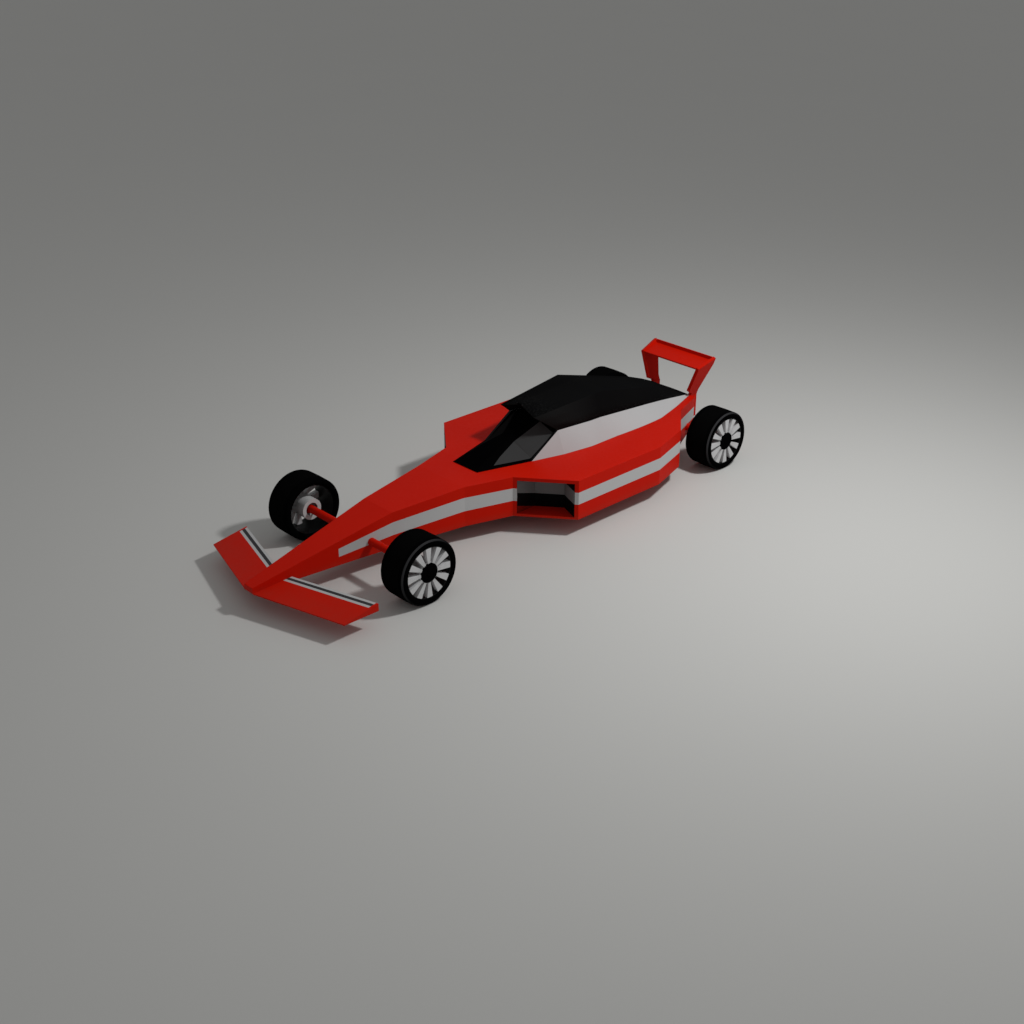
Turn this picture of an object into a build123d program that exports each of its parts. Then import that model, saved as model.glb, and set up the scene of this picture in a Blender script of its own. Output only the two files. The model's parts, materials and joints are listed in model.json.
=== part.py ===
"""Closed-cockpit open wheel racing car at full size, in millimetres.

The car's nose points along -Y, its left side along +X and up is +Z. The origin is on the
ground, midway between the nose tip and the rear wing's trailing edge, on the centre plane.
"""
import math
import os

from build123d import *

os.makedirs("parts", exist_ok=True)

# Driving dimensions: wheels and axles
WHEEL_R = 318.0              # tyre outer radius, front and rear
TYRE_W = 280.0               # tyre width
TYRE_H = 70.0                # tyre section height above the rim
SHOULDER_R = 20.0            # rounding between tread and side wall
FRONT_AXLE_Y = -1656.0
REAR_AXLE_Y = 2490.0
FRONT_WHEEL_X = 860.0        # tyre mid-plane
REAR_WHEEL_X = 809.0
KINGPIN_IN = 70.0            # kingpin axis inboard of the tyre's mid-plane
KINGPIN_R = 14.0
STUB_R = 25.0                # stub axle that the wheel turns on
TUBE_R = 38.0                # axle tubes
HUB_R = 106.0                # drum that closes each wheel's inner side
BARREL_T = 6.0               # rim barrel wall
BLADES = 12                  # spoke blades of a wheel
BLADE_ROOT_W, BLADE_TIP_W, BLADE_D = 26.0, 64.0, 50.0
CAP_R, CAP_T = 94.0, 8.0     # flat hub cap and the depth of its seat

# Driving dimensions: body
DECK_Z = 590.0               # flat top of tub, pods and tail
FLOOR_Z = 178.0              # underside of the body
NOSE_Y = -2875.0
NOSE_JOINT_Y = -1950.0       # where the nose cone meets the tub
CANOPY_Y = -347.0            # front edge of the canopy
BULKHEAD_Y = 860.0           # back of the cockpit
TAIL_JOINT_Y = 2286.0
TAIL_Y = 2680.0
POD_IN_X = 486.0             # side of the tub where the pods begin
POD_FRONT_Y = -165.0
SKIN = 24.0                  # panel thickness of canopy and engine cover
WALL = 20.0                  # walls of the engine bay and between intake and tub
COCKPIT_FLOOR_Z = 208.0
GAP = 6.0                    # running clearance of parts beside each other
SEAT_GAP = 0.3               # what rests on its seat but can move keeps this clear
PIN_FIT = 0.05               # radial clearance of a bore on its pin
CLEAR = 3000.0               # reach of a cutting prism past the body

# Driving dimensions: canopy hinge, intakes and wings
HINGE_Y, HINGE_Z = 384.0, 1043.0
HINGE_R, HINGE_PIN_R, HINGE_HALF, LUG_W = 8.0, 4.0, 30.0, 12.0
INTAKE_LOW, INTAKE_HIGH, INTAKE_D, POST_W = 200.0, 555.0, 240.0, 38.0
RADIATOR_T = 38.0
WING_LEAD_Y, WING_LEAD_Z = 2630.0, 939.0
WING_TRAIL_Y, WING_TRAIL_Z = 2875.0, 981.0
WING_HALF, STRUT_T, LIP_H, LIP_T = 428.0, 36.0, 36.0, 14.0
STRUT_FOOT_X, STRUT_FOOT_Y, STRUT_LOW_Z = 265.0, 2780.0, 330.0

RIM_R = WHEEL_R - TYRE_H

# Body stations: y, half width, top z, bottom z
NOSE_STATIONS = [(NOSE_Y, 61.0, 248.0, 193.0), (NOSE_JOINT_Y, 153.0, 434.0, 186.0)]
TUB_STATIONS = [
    NOSE_STATIONS[-1],
    (-1422.0, 206.0, 540.0, FLOOR_Z),
    (-649.0, 335.0, DECK_Z, FLOOR_Z),
    (POD_FRONT_Y, POD_IN_X, DECK_Z, FLOOR_Z),
    (BULKHEAD_Y, POD_IN_X, DECK_Z, FLOOR_Z),
]
COCKPIT_STATIONS = [
    (-1250.0, 160.0, 480.0, COCKPIT_FLOOR_Z + 7.0),
    (-400.0, 340.0, 556.0, COCKPIT_FLOOR_Z),
    (BULKHEAD_Y - WALL, 430.0, 556.0, COCKPIT_FLOOR_Z),
]
# Plan of the hole in the deck under the canopy: half width, y
COCKPIT_RIM = [(150.0, -290.0), (310.0, 200.0), (340.0, 420.0), (340.0, BULKHEAD_Y - WALL - 2.0)]
TAIL_STATIONS = [(TAIL_JOINT_Y, POD_IN_X, DECK_Z, FLOOR_Z), (TAIL_Y, 342.0, DECK_Z, 262.0)]

# Greenhouse and engine cover sections: y, base half width, edge (x, z), ridge (x, z), crown z
COVER_SECTIONS = [
    (CANOPY_Y, 175.8, (174.9, 592.0), (174.0, 594.0), 596.0),
    (220.0, 345.9, (345.0, 592.0), (206.4, 891.3), 941.6),
    (375.0, 389.0, (347.0, 693.0), (215.0, 970.0), 1040.0),
    (573.0, 443.0, (350.0, 820.0), (215.0, 965.0), 1101.0),
    (914.0, 494.0, (358.0, 803.0), (215.0, 964.0), 1206.0),
    (1150.0, 492.0, (370.0, 800.0), (215.0, 948.0), 1147.0),
    (1292.0, 491.0, (357.0, 782.0), (205.0, 925.0), 1112.0),
    (1968.0, 485.0, (291.0, 696.0), (150.0, 810.0), 901.0),
    (2374.0, 371.0, (262.0, 642.0), (130.0, 705.0), 753.0),
    (2578.0, 300.0, (254.0, 613.0), (125.0, 632.0), 646.0),
    (2674.0, 268.0, (251.0, 600.0), (124.0, 602.0), 604.0),
]
SCREEN_END = 1               # row where the sloping screen meets the engine cover's flank
HOLLOW_Y = (-210.0, 2300.0)  # front and rear end of the space under the shell
TOP_Z = 1300.0               # above every section
SECTION_DEPTH = 150.0        # how far the sections run on below the deck before they are cut
# Side view of the engine cover's front edge from the deck up: y, z, shut gap to the canopy
CANOPY_REAR = [
    (220.0, DECK_Z, 9.5),
    (573.0, 820.0, 15.0),
    (370.0, 970.0, 9.0),
    (388.0, 1044.0, 6.0),
    (430.0, TOP_Z, 6.0),
]
# Side view of the line between the white side panels and the black roof, just under the
# flank's crease: y, z
ROOF_EDGE = [(573.0, 817.0), (1018.0, 794.0), (1153.0, 797.0), (2188.0, 665.0), (2690.0, 595.0)]
# Side view of the side window: y, z
SIDE_WINDOW = [(-160.0, 616.0), (195.0, 617.0), (490.0, 790.0), (405.0, 903.0), (71.0, 786.0)]
# Plan of the windscreen: y, half width
WINDSCREEN = [(-190.0, 140.0), (330.0, 176.0)]

# Plan of a side pod: x, y
POD_PLAN = [
    (POD_IN_X, POD_FRONT_Y), (979.0, 231.0), (981.0, 1400.0), (836.0, 1875.0),
    (500.0, 2266.0), (POD_IN_X, 2282.0),
]

# Front wing sections: x, leading edge (y, z), trailing edge y, its underside and top z
FRONT_WING = [
    (58.0, (NOSE_Y + 2.0, 190.0), -2497.0, 165.0, 235.0),
    (998.0, (-2596.0, 171.0), -2225.0, 163.0, 235.0),
]
WING_EDGE = 5.0              # half the thickness of the front wing's leading edge

# Corners: name, side, axle y, tyre mid-plane x, whether it steers
CORNERS = [
    ("fl", 1, FRONT_AXLE_Y, FRONT_WHEEL_X, True),
    ("fr", -1, FRONT_AXLE_Y, FRONT_WHEEL_X, True),
    ("rl", 1, REAR_AXLE_Y, REAR_WHEEL_X, False),
    ("rr", -1, REAR_AXLE_Y, REAR_WHEEL_X, False),
]


def across(y):
    """Plane across the car at y: local x is X and local y is Z, its normal points forward."""
    return Plane(origin=(0, y, 0), x_dir=(1, 0, 0), z_dir=(0, -1, 0))


def side_view(x):
    """Plane along the car at x: local x is Y and local y is Z, its normal is +X."""
    return Plane(origin=(x, 0, 0), x_dir=(0, 1, 0), z_dir=(1, 0, 0))


def axle_plane(side, x, y, z):
    """Plane whose normal points outward along a wheel's axle."""
    return Plane(origin=(side * x, y, z), x_dir=(0, side, 0), z_dir=(side, 0, 0))


def save(builder, name):
    """Write one builder's solid as parts/NAME.step with its node name as label."""
    builder.part.label = name
    export_step(builder.part, "parts/" + name + ".step")


def save_pair(builder, name):
    """Write the left piece as NAME_l and its mirror image as NAME_r."""
    save(builder, name + "_l")
    with BuildPart() as right:
        mirror(builder.part, about=Plane.YZ)
    save(right, name + "_r")


def box_body(stations):
    """Return a ruled body through rectangular sections given as y, half width, top, bottom."""
    with BuildPart() as body:
        for y, half, top, bottom in stations:
            with BuildSketch(across(y)):
                with BuildLine():
                    Polyline((-half, bottom), (half, bottom), (half, top), (-half, top), close=True)
                make_face()
        loft(ruled=True)
    return body.part


def side_prism(points, x_from, width):
    """Return the prism of a closed side view outline, running along X from x_from."""
    with BuildPart() as prism:
        with BuildSketch(side_view(x_from)):
            with BuildLine():
                Polyline(*points, close=True)
            make_face()
        extrude(amount=width)
    return prism.part


def cover_section(y):
    """Return the half section at y as base, edge, ridge and crown points (x, z)."""
    for low, high in zip(COVER_SECTIONS[:-1], COVER_SECTIONS[1:]):
        if low[0] <= y <= high[0]:
            t = (y - low[0]) / (high[0] - low[0])
            rows = [((row[1], DECK_Z), row[2], row[3], (0.0, row[4])) for row in (low, high)]
            return [tuple(p + t * (q - p) for p, q in zip(*pair)) for pair in zip(*rows)]
    raise ValueError("no cover section at " + str(y))


def inset_section(points, depth):
    """Return a half section moved inward by depth, its base kept level and its crown on x = 0."""
    lines = []
    for (xa, za), (xb, zb) in zip(points[:-1], points[1:]):
        length = math.hypot(xb - xa, zb - za)
        nx, nz = (za - zb) / length, (xb - xa) / length
        lines.append(((xa + nx * depth, za + nz * depth), (xb - xa, zb - za)))
    (xa, za), (dx, dz) = lines[0]
    moved = [(xa + dx * (points[0][1] - za) / dz, points[0][1])]
    for ((xa, za), (dx, dz)), ((xb, zb), (ex, ez)) in zip(lines[:-1], lines[1:]):
        turn = dx * ez - dz * ex
        if abs(turn) < 1.0:
            moved.append((xb, zb))
        else:
            t = ((xb - xa) * ez - (zb - za) * ex) / turn
            moved.append((xa + t * dx, za + t * dz))
    (xa, za), (dx, dz) = lines[-1]
    moved.append((0.0, za - dz * xa / dx))
    return moved


def cover_body(stations, depth, first):
    """Return the ruled greenhouse body through stations, moved inward by depth, above the deck.

    first is the point of a half section that its lowest line starts from.
    """
    low_z = DECK_Z - SECTION_DEPTH
    floor_z = DECK_Z - (1.0 if depth > 0 else 0.0)
    with BuildPart() as body:
        for y in stations:
            half = cover_section(y)[first:]
            (xa, za), (xb, zb) = half[:2]
            half[0] = (xa + (low_z - za) * (xb - xa) / (zb - za), low_z)
            if depth > 0:
                half = inset_section(half, depth)
            with BuildSketch(across(y)):
                with BuildLine():
                    Polyline(*half, *[(-x, z) for x, z in reversed(half[:-1])], close=True)
                make_face()
        loft(ruled=True)
        with Locations((0, 0, floor_z - CLEAR / 2)):
            Box(3 * CLEAR, 3 * CLEAR, CLEAR, mode=Mode.SUBTRACT)
    return body.part


def rod(start, end, radius):
    """Return a round rod from one point to another."""
    with BuildPart() as bar:
        with BuildSketch(Plane(origin=start, z_dir=Vector(*end) - Vector(*start))):
            Circle(radius)
        extrude(amount=(Vector(*end) - Vector(*start)).length)
    return bar.part


# Nose cone, and the tub with its cockpit
with BuildPart() as nose:
    add(box_body(NOSE_STATIONS))
save(nose, "nose_cone")

with BuildPart() as tub:
    add(box_body(TUB_STATIONS))
    add(box_body(COCKPIT_STATIONS), mode=Mode.SUBTRACT)
    with BuildSketch(Plane.XY.offset(DECK_Z)):
        with BuildLine():
            Polyline(*COCKPIT_RIM, *[(-x, y) for x, y in reversed(COCKPIT_RIM)], close=True)
        make_face()
    extrude(amount=-100, mode=Mode.SUBTRACT)
save(tub, "tub")

# Engine bay behind the bulkhead: floor, side walls and a deck frame under the cover
bay_mid, bay_length = (BULKHEAD_Y + TAIL_JOINT_Y) / 2, TAIL_JOINT_Y - BULKHEAD_Y
with BuildPart() as engine_bay:
    with BuildSketch(Plane.XY.offset(FLOOR_Z)):
        with Locations((0, bay_mid)):
            Rectangle(2 * POD_IN_X, bay_length)
    extrude(amount=DECK_Z - FLOOR_Z)
    with BuildSketch(Plane.XY.offset(FLOOR_Z + WALL)):
        with Locations((0, bay_mid)):
            Rectangle(2 * (POD_IN_X - WALL), bay_length - 2 * WALL)
    extrude(amount=DECK_Z - FLOOR_Z - 2 * WALL, mode=Mode.SUBTRACT)
    with BuildSketch(Plane.XY.offset(DECK_Z)):
        with BuildLine():
            hole = [(POD_IN_X - 2.8 * WALL, BULKHEAD_Y + 2 * WALL), (POD_IN_X - 2.8 * WALL, 1960),
                    (POD_IN_X - 7.8 * WALL, TAIL_JOINT_Y - 2.3 * WALL)]
            Polyline(*hole, *[(-x, y) for x, y in reversed(hole)], close=True)
        make_face()
    extrude(amount=-2 * WALL, mode=Mode.SUBTRACT)
save(engine_bay, "engine_bay")

with BuildPart() as engine:
    with BuildSketch(Plane.XY.offset(FLOOR_Z + WALL)):
        with Locations((0, BULKHEAD_Y + 380)):
            Rectangle(520, 640)
    extrude(amount=520)
    fillet(engine.edges().filter_by(Axis.Y), 2 * WALL)
save(engine, "engine_block")

with BuildPart() as tail:
    add(box_body(TAIL_STATIONS))
save(tail, "tail_casing")

# Side pods: an intake recess square to the slanted face, and the radiator at its back
face = Vector(*POD_PLAN[1]) - Vector(*POD_PLAN[0])
intake_floor = Plane(origin=(*POD_PLAN[0], INTAKE_LOW), x_dir=(face.X, face.Y, 0), z_dir=(0, 0, 1))
with BuildPart() as beside_tub:
    with Locations((POD_IN_X + WALL + CLEAR / 2, 0, 0)):
        Box(CLEAR, 2 * CLEAR, CLEAR)
with BuildPart() as recess:
    with BuildSketch(intake_floor):
        with Locations((face.length / 2, (INTAKE_D - CLEAR / 10) / 2)):
            Rectangle(face.length - 2 * POST_W, INTAKE_D + CLEAR / 10)
    extrude(amount=INTAKE_HIGH - INTAKE_LOW)
    add(beside_tub.part, mode=Mode.INTERSECT)
with BuildPart() as pod:
    with BuildSketch(Plane.XY.offset(FLOOR_Z)):
        with BuildLine():
            Polyline(*POD_PLAN, close=True)
        make_face()
    extrude(amount=DECK_Z - FLOOR_Z)
    add(recess.part, mode=Mode.SUBTRACT)
save_pair(pod, "sidepod")

with BuildPart() as radiator:
    with BuildSketch(intake_floor):
        with Locations((face.length / 2, INTAKE_D - RADIATOR_T / 2)):
            Rectangle(face.length - 2 * POST_W, RADIATOR_T)
    extrude(amount=INTAKE_HIGH - INTAKE_LOW)
    add(beside_tub.part, mode=Mode.INTERSECT)
save_pair(radiator, "radiator")

# Greenhouse shell, split by side view prisms into canopy, glass, roof and side panels
cover_y = [row[0] for row in COVER_SECTIONS]
inside_y = [y for y in cover_y if HOLLOW_Y[0] < y < HOLLOW_Y[1]]
with BuildPart() as shell:
    add(cover_body(cover_y[:SCREEN_END + 1], 0.0, 1))
    add(cover_body(cover_y[SCREEN_END:], 0.0, 0))
    add(cover_body([HOLLOW_Y[0], inside_y[0]], SKIN, 1), mode=Mode.SUBTRACT)
    add(cover_body([*inside_y, HOLLOW_Y[1]], SKIN, 0), mode=Mode.SUBTRACT)

canopy_floor = DECK_Z + SEAT_GAP
ahead = side_prism([(CANOPY_Y - CLEAR, canopy_floor),
                    *[(y - gap, max(z, canopy_floor)) for y, z, gap in CANOPY_REAR],
                    (CANOPY_Y - CLEAR, TOP_Z)], -CLEAR / 2, CLEAR)
behind = side_prism([*[(y, z) for y, z, gap in CANOPY_REAR],
                     (TAIL_Y + CLEAR, TOP_Z), (TAIL_Y + CLEAR, DECK_Z)], -CLEAR / 2, CLEAR)
above_edge = side_prism([(ROOF_EDGE[0][0] - 300, ROOF_EDGE[0][1] + 1), *ROOF_EDGE,
                         (TAIL_Y + CLEAR, ROOF_EDGE[-1][1]), (TAIL_Y + CLEAR, TOP_Z),
                         (ROOF_EDGE[0][0] - 300, TOP_Z)], -CLEAR / 2, CLEAR)
window_hole = side_prism(SIDE_WINDOW, -CLEAR / 2, CLEAR)
with BuildPart() as screen_hole:
    with BuildSketch(Plane.XY.offset(DECK_Z)):
        with BuildLine():
            (y_low, half_low), (y_high, half_high) = WINDSCREEN
            Polyline((half_low, y_low), (half_high, y_high), (-half_high, y_high),
                     (-half_low, y_low), close=True)
        make_face()
    extrude(amount=TOP_Z - DECK_Z)

# The canopy turns on a pin at the roof's front edge, its barrel between two lugs of the roof
lug_x = HINGE_HALF + SEAT_GAP + LUG_W / 2
hinge_end = lug_x + LUG_W / 2
with BuildPart() as canopy:
    add(shell.part)
    add(ahead, mode=Mode.INTERSECT)
    add(window_hole, mode=Mode.SUBTRACT)
    add(screen_hole.part, mode=Mode.SUBTRACT)
    with Locations(*[(side * lug_x, HINGE_Y, HINGE_Z) for side in (1, -1)]):
        Box(LUG_W + 4 * SEAT_GAP, 4 * HINGE_R, 6 * HINGE_R, mode=Mode.SUBTRACT)
    add(rod((-HINGE_HALF, HINGE_Y, HINGE_Z), (HINGE_HALF, HINGE_Y, HINGE_Z), HINGE_R))
    add(rod((-hinge_end, HINGE_Y, HINGE_Z), (hinge_end, HINGE_Y, HINGE_Z),
            HINGE_PIN_R + SEAT_GAP), mode=Mode.SUBTRACT)
save(canopy, "canopy_frame")

with BuildPart() as windscreen:
    add(shell.part)
    add(ahead, mode=Mode.INTERSECT)
    add(screen_hole.part, mode=Mode.INTERSECT)
save(windscreen, "windscreen")

with BuildPart() as left_half:
    with Locations((CLEAR / 2 + 0.5, 0, 0)):
        Box(CLEAR, 3 * CLEAR, CLEAR)
with BuildPart() as window:
    add(shell.part)
    add(ahead, mode=Mode.INTERSECT)
    add(window_hole, mode=Mode.INTERSECT)
    add(left_half.part, mode=Mode.INTERSECT)
    add(screen_hole.part, mode=Mode.SUBTRACT)
save_pair(window, "side_window")

with BuildPart() as panel:
    add(shell.part)
    add(behind, mode=Mode.INTERSECT)
    add(above_edge, mode=Mode.SUBTRACT)
    add(left_half.part, mode=Mode.INTERSECT)
save_pair(panel, "cover_panel")

with BuildPart() as roof:
    add(shell.part)
    add(behind, mode=Mode.INTERSECT)
    add(above_edge, mode=Mode.INTERSECT)
    with Locations((0, HINGE_Y, HINGE_Z)):
        Box(2 * (HINGE_HALF + SEAT_GAP), 3 * HINGE_R, 3 * HINGE_R, mode=Mode.SUBTRACT)
    with Locations(*[(side * lug_x, HINGE_Y + HINGE_R / 2, HINGE_Z - HINGE_R) for side in (1, -1)]):
        Box(LUG_W, 3 * HINGE_R, 2 * HINGE_R)
    for side in (1, -1):
        add(rod((side * (lug_x - LUG_W / 2), HINGE_Y, HINGE_Z),
                (side * hinge_end, HINGE_Y, HINGE_Z), HINGE_R))
    add(rod((-hinge_end, HINGE_Y, HINGE_Z), (hinge_end, HINGE_Y, HINGE_Z), HINGE_PIN_R))
save(roof, "engine_cover_roof")

# Cockpit fittings
SEAT_BACK_Y = BULKHEAD_Y - WALL - 10.0
with BuildPart() as seat:
    add(side_prism([(20, COCKPIT_FLOOR_Z), (SEAT_BACK_Y, COCKPIT_FLOOR_Z), (SEAT_BACK_Y, 860),
                    (SEAT_BACK_Y - 50, 860), (520, COCKPIT_FLOOR_Z + 122),
                    (420, COCKPIT_FLOOR_Z + 54), (20, COCKPIT_FLOOR_Z + 92)], -210, 420))
save(seat, "seat")

DASH_Y, DASH_T = -90.0, 60.0
with BuildPart() as dash:
    add(side_prism([(DASH_Y - DASH_T / 2, 480), (DASH_Y + DASH_T / 2, 480),
                    (DASH_Y + DASH_T / 2, 556), (DASH_Y - DASH_T / 2, 556)], -380, 760))
    add(side_prism([(DASH_Y - 90, 556), (DASH_Y + DASH_T / 2, 556), (DASH_Y + DASH_T / 2, 612),
                    (DASH_Y - 10, 622), (DASH_Y - 90, 600)], -130, 260))
    add(tub.part, mode=Mode.SUBTRACT)
save(dash, "dashboard")

COLUMN_L, COLUMN_R, GRIP_T = 120.0, 18.0, 26.0
column = Plane(origin=(0, DASH_Y + 15, 560), x_dir=(1, 0, 0), z_dir=(0, 0.966, 0.259))
with BuildPart() as steering_column:
    with BuildSketch(column):
        Circle(COLUMN_R)
    extrude(amount=COLUMN_L)
    add(dash.part, mode=Mode.SUBTRACT)
save(steering_column, "steering_column")

with BuildPart() as steering_wheel:
    with BuildSketch(column.offset(COLUMN_L + SEAT_GAP)):
        Circle(COLUMN_R + 12)
    extrude(amount=20)
    with BuildSketch(column.offset(COLUMN_L + 16)):
        Ellipse(135, 95)
        Ellipse(110, 70, mode=Mode.SUBTRACT)
        Rectangle(230, 36)
    extrude(amount=GRIP_T)
save(steering_wheel, "steering_wheel")

# Front wing halves: wedge sections swept back to the tip
with BuildPart() as front_wing:
    for x, (y_lead, z_lead), y_trail, z_under, z_top in FRONT_WING:
        with BuildSketch(side_view(x)):
            with BuildLine():
                Polyline((y_lead, z_lead - WING_EDGE), (y_lead, z_lead + WING_EDGE),
                         (y_trail, z_top), (y_trail, z_under), close=True)
            make_face()
    loft(ruled=True)
    add(nose.part, mode=Mode.SUBTRACT)
save_pair(front_wing, "front_wing")

# Rear wing: plane with a raised lip, between struts that lean in to the tail
wing_inner = WING_HALF - STRUT_T
with BuildPart() as rear_wing:
    add(side_prism([(WING_LEAD_Y, WING_LEAD_Z - LIP_T), (WING_LEAD_Y, WING_LEAD_Z),
                    (WING_TRAIL_Y - LIP_T, WING_TRAIL_Z),
                    (WING_TRAIL_Y - LIP_T, WING_TRAIL_Z + LIP_H),
                    (WING_TRAIL_Y, WING_TRAIL_Z + LIP_H), (WING_TRAIL_Y, WING_TRAIL_Z - 2 * LIP_T)],
                   -wing_inner, 2 * wing_inner))
save(rear_wing, "rear_wing_plane")

lean = math.atan2(WING_HALF - STRUT_T / 2 - STRUT_FOOT_X, WING_TRAIL_Z - DECK_Z)
strut_plane = Plane(origin=(STRUT_FOOT_X, 0, DECK_Z), x_dir=(0, 1, 0),
                    z_dir=(math.cos(lean), 0, -math.sin(lean)))
with BuildPart() as strut:
    with BuildSketch(strut_plane):
        with BuildLine():
            outline = [
                (WING_LEAD_Y, WING_LEAD_Z + 2), (WING_TRAIL_Y, WING_TRAIL_Z + LIP_H),
                (WING_TRAIL_Y, WING_TRAIL_Z - LIP_H), (STRUT_FOOT_Y, 650), (STRUT_FOOT_Y, DECK_Z),
                (TAIL_Y, DECK_Z), (TAIL_Y, 625), (WING_LEAD_Y - 12, 655),
            ]
            Polyline(*[(y, (z - DECK_Z) / math.cos(lean)) for y, z in outline], close=True)
        make_face()
    extrude(amount=STRUT_T / 2, both=True)
    with BuildSketch(Plane.XY.offset(STRUT_LOW_Z)):
        with Locations((STRUT_FOOT_X, (TAIL_Y + STRUT_FOOT_Y) / 2)):
            Rectangle(STRUT_T, STRUT_FOOT_Y - TAIL_Y)
    extrude(amount=DECK_Z - STRUT_LOW_Z + LIP_T)
    add(rear_wing.part, mode=Mode.SUBTRACT)
save_pair(strut, "rear_wing_strut")

# Axle tubes fixed to the body: name, y, root x, end x, whether the end carries a kingpin
TUBES = [
    ("axle_tubes_front", FRONT_AXLE_Y, 60.0, FRONT_WHEEL_X - KINGPIN_IN, True),
    ("axle_tubes_rear", REAR_AXLE_Y, 300.0, REAR_WHEEL_X - TYRE_W / 2 + GAP, False),
]
BOSS_R, BOSS_H, COLLAR_R = 26.0, 110.0, 26.0
for name, y, root_x, end_x, pivot in TUBES:
    with BuildPart() as tubes:
        for side in (1, -1):
            add(rod((side * root_x, y, WHEEL_R), (side * end_x, y, WHEEL_R), TUBE_R))
            if pivot:
                with Locations((side * end_x, y, WHEEL_R)):
                    Cylinder(BOSS_R, BOSS_H)
                    Cylinder(KINGPIN_R + PIN_FIT, BOSS_H + TUBE_R, mode=Mode.SUBTRACT)
        add(tub.part if pivot else tail.part, mode=Mode.SUBTRACT)
    save(tubes, name)

# Wheels, hubs and steering knuckles, one set at each corner
DRUM_WALL, PLATE_T, RUN_GAP = 14.0, 10.0, 4.0
for tag, side, y, x_mid, steers in CORNERS:
    inner, outer = x_mid - TYRE_W / 2, x_mid + TYRE_W / 2
    pin_x = x_mid - KINGPIN_IN
    plate_x = pin_x + BOSS_R + 8
    drum_x = plate_x + PLATE_T + RUN_GAP
    with BuildPart() as tyre:
        with BuildSketch(Plane(origin=(side * x_mid, y, WHEEL_R), x_dir=(1, 0, 0), z_dir=(0, 1, 0))):
            with BuildLine():
                half = TYRE_W / 2
                Polyline((half, WHEEL_R - SHOULDER_R), (half, RIM_R), (-half, RIM_R),
                         (-half, WHEEL_R - SHOULDER_R))
                RadiusArc((-half, WHEEL_R - SHOULDER_R), (SHOULDER_R - half, WHEEL_R), SHOULDER_R)
                Line((SHOULDER_R - half, WHEEL_R), (half - SHOULDER_R, WHEEL_R))
                RadiusArc((half - SHOULDER_R, WHEEL_R), (half, WHEEL_R - SHOULDER_R), SHOULDER_R)
            make_face()
        revolve(axis=Axis((side * x_mid, y, WHEEL_R), (1, 0, 0)))
    save(tyre, "tyre_" + tag)

    with BuildPart() as rim:
        with BuildSketch(axle_plane(side, inner + RUN_GAP, y, WHEEL_R)):
            Circle(RIM_R)
            Circle(RIM_R - BARREL_T, mode=Mode.SUBTRACT)
        extrude(amount=TYRE_W - RUN_GAP)
        with BuildSketch(axle_plane(side, drum_x, y, WHEEL_R)):
            Circle(HUB_R - 2)
            Circle(STUB_R + PIN_FIT, mode=Mode.SUBTRACT)
        extrude(amount=outer - CAP_T - drum_x)
        with BuildSketch(axle_plane(side, outer - BLADE_D, y, WHEEL_R)):
            with PolarLocations(0, BLADES):
                root_r, tip_r = CAP_R + SEAT_GAP, RIM_R - BARREL_T / 2
                Polygon((root_r, -BLADE_ROOT_W / 2), (tip_r, -BLADE_TIP_W / 2),
                        (tip_r, BLADE_TIP_W / 2), (root_r, BLADE_ROOT_W / 2), align=None)
        extrude(amount=BLADE_D)
    save(rim, "rim_" + tag)

    with BuildPart() as cap:
        with BuildSketch(axle_plane(side, outer - CAP_T, y, WHEEL_R)):
            Circle(CAP_R)
        extrude(amount=CAP_T + 2)
        chamfer(cap.edges().sort_by(Axis.X)[-1 if side > 0 else 0], 2)
    save(cap, "hub_cap_" + tag)

    with BuildPart() as hub:
        with BuildSketch(axle_plane(side, inner + GAP, y, WHEEL_R)):
            Circle(HUB_R)
            if steers:
                Circle(TUBE_R + 28, mode=Mode.SUBTRACT)
        extrude(amount=PLATE_T + 2)
        with BuildSketch(axle_plane(side, inner + GAP + PLATE_T + 2, y, WHEEL_R)):
            Circle(HUB_R)
            Circle(HUB_R - DRUM_WALL, mode=Mode.SUBTRACT)
        extrude(amount=plate_x - inner - GAP - PLATE_T - 2)
        with BuildSketch(axle_plane(side, plate_x, y, WHEEL_R)):
            Circle(HUB_R)
        extrude(amount=PLATE_T)
        with BuildSketch(axle_plane(side, plate_x + PLATE_T, y, WHEEL_R)):
            Circle(STUB_R)
        extrude(amount=outer - CAP_T - GAP - plate_x - PLATE_T)
        if steers:
            collar_h = HUB_R - DRUM_WALL / 2 - BOSS_H / 2 - GAP
            with Locations((side * pin_x, y, WHEEL_R)):
                Cylinder(KINGPIN_R, 2 * HUB_R - DRUM_WALL)
                for up in (1, -1):
                    with Locations((0, 0, up * (BOSS_H / 2 + GAP + collar_h / 2))):
                        Cylinder(COLLAR_R, collar_h)
    save(hub, ("knuckle_" if steers else "hub_carrier_") + tag)

# Skid plank under the floor
PLANK_W, PLANK_T, PLANK_FRONT_Y, PLANK_REAR_Y = 300.0, 12.0, -1130.0, 1970.0
with BuildPart() as plank:
    with BuildSketch(Plane.XY.offset(FLOOR_Z - PLANK_T)):
        with Locations((0, (PLANK_FRONT_Y + PLANK_REAR_Y) / 2)):
            Rectangle(PLANK_W, PLANK_REAR_Y - PLANK_FRONT_Y)
    extrude(amount=PLANK_T)
    fillet(plank.edges().filter_by(Axis.Z), 2 * WALL)
save(plank, "skid_plank")
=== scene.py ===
"""Looks of a closed-cockpit open wheel racing car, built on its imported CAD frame."""
import json
import logging
import math
from dataclasses import dataclass, field
from enum import Enum

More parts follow.
